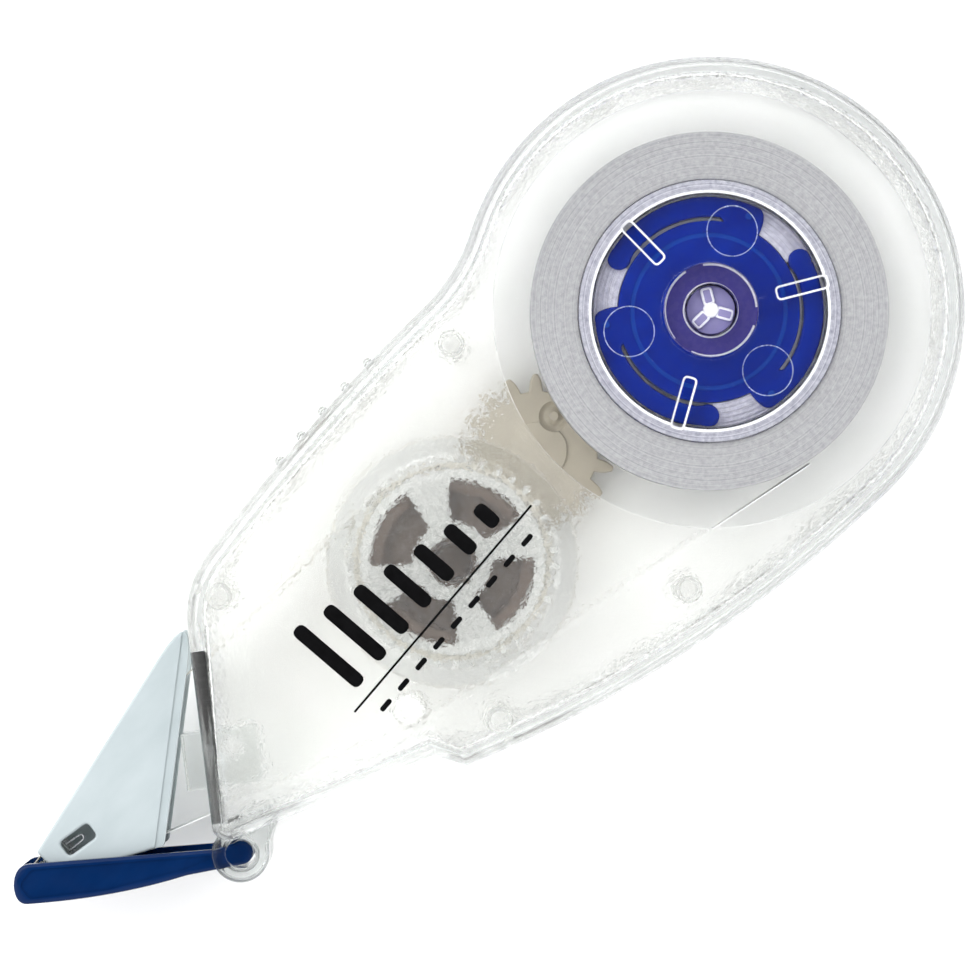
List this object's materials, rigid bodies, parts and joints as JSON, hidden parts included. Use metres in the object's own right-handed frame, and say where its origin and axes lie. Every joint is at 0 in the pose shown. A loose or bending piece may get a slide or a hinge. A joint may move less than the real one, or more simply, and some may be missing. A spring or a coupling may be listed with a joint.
{
  "type": "correction tape roller",
  "caption": "Hand-held correction tape roller: frosted clear teardrop case with geared tape reels inside, slanted writing head and swing-away tip cap.",
  "frame": {"origin": "where the supply reel's axis meets the flat rear face, on which the object lies", "axes": "+X from the tape tip towards the big round end, +Y towards the ribbed finger edge, +Z out of the front face"},
  "size_m": [0.0905, 0.0394, 0.015],
  "materials": {
    "frosted_clear_plastic": "fine frosted outside, one smooth round window",
    "clear_plastic": "clear, polished",
    "smoky_clear_plastic": "hazy clear",
    "white_tape": "wound film edges",
    "carrier_tape": "satin film",
    "blue_plastic": "satin moulded",
    "beige_plastic": "moulded acetal",
    "taupe_plastic": "moulded",
    "pale_grey_plastic": "satin moulded",
    "navy_plastic": "satin moulded",
    "natural_plastic": "moulded acetal",
    "steel_wire": "drawn wire"
  },
  "bodies": {
    "case": {"front_shell": "frosted_clear_plastic", "rear_shell": "frosted_clear_plastic", "head_front_plate": "pale_grey_plastic", "head_rear_plate": "pale_grey_plastic", "head_core": "pale_grey_plastic", "head_neck": "smoky_clear_plastic", "tip_holder": "smoky_clear_plastic", "tip_axle": "steel_wire", "tip_spring": "steel_wire", "feed_tape_run": "white_tape", "return_tape_run": "carrier_tape"},
    "supply_spool": {"supply_reel": "clear_plastic", "supply_tape_roll": "white_tape"},
    "clutch": {"supply_gear": "clear_plastic", "clutch_spider": "blue_plastic"},
    "idler": {"idler_gear": "beige_plastic"},
    "takeup_spool": {"takeup_gear": "taupe_plastic", "takeup_reel": "clear_plastic", "used_tape_roll": "carrier_tape"},
    "roller": {"tip_roller": "natural_plastic"},
    "tip_cap": {"cap": "navy_plastic"}
  },
  "joints": [
    {"name": "supply_reel_spin", "type": "hinge", "parent": "case", "child": "supply_spool", "pos_m": [0, 0, 0.0075], "axis": [0, 0, 1], "continuous": true},
    {"name": "supply_gear_spin", "type": "hinge", "parent": "case", "child": "clutch", "pos_m": [0, 0, 0.0075], "axis": [0, 0, 1], "continuous": true},
    {"name": "idler_gear_spin", "type": "hinge", "parent": "case", "child": "idler", "pos_m": [-0.01716, 0.00153, 0.0026], "axis": [0, 0, 1], "continuous": true},
    {"name": "takeup_reel_spin", "type": "hinge", "parent": "case", "child": "takeup_spool", "pos_m": [-0.0281, 0, 0.0075], "axis": [0, 0, 1], "continuous": true},
    {"name": "tip_roller_spin", "type": "hinge", "parent": "case", "child": "roller", "pos_m": [-0.0687, 0.00505, 0.0075], "axis": [0, 0, 1], "continuous": true},
    {"name": "cap_hinge", "type": "hinge", "parent": "case", "child": "tip_cap", "pos_m": [-0.0557, -0.0047, 0.0075], "axis": [0, 0, 1], "range_deg": [0, 186]}
  ],
  "couplings": [
    {"joint": "supply_gear_spin", "follows": "supply_reel_spin", "ratio": 1},
    {"joint": "idler_gear_spin", "follows": "supply_reel_spin", "ratio": -2.1176},
    {"joint": "takeup_reel_spin", "follows": "supply_reel_spin", "ratio": 2.1176},
    {"joint": "tip_roller_spin", "follows": "supply_reel_spin", "ratio": 22.661}
  ]
}
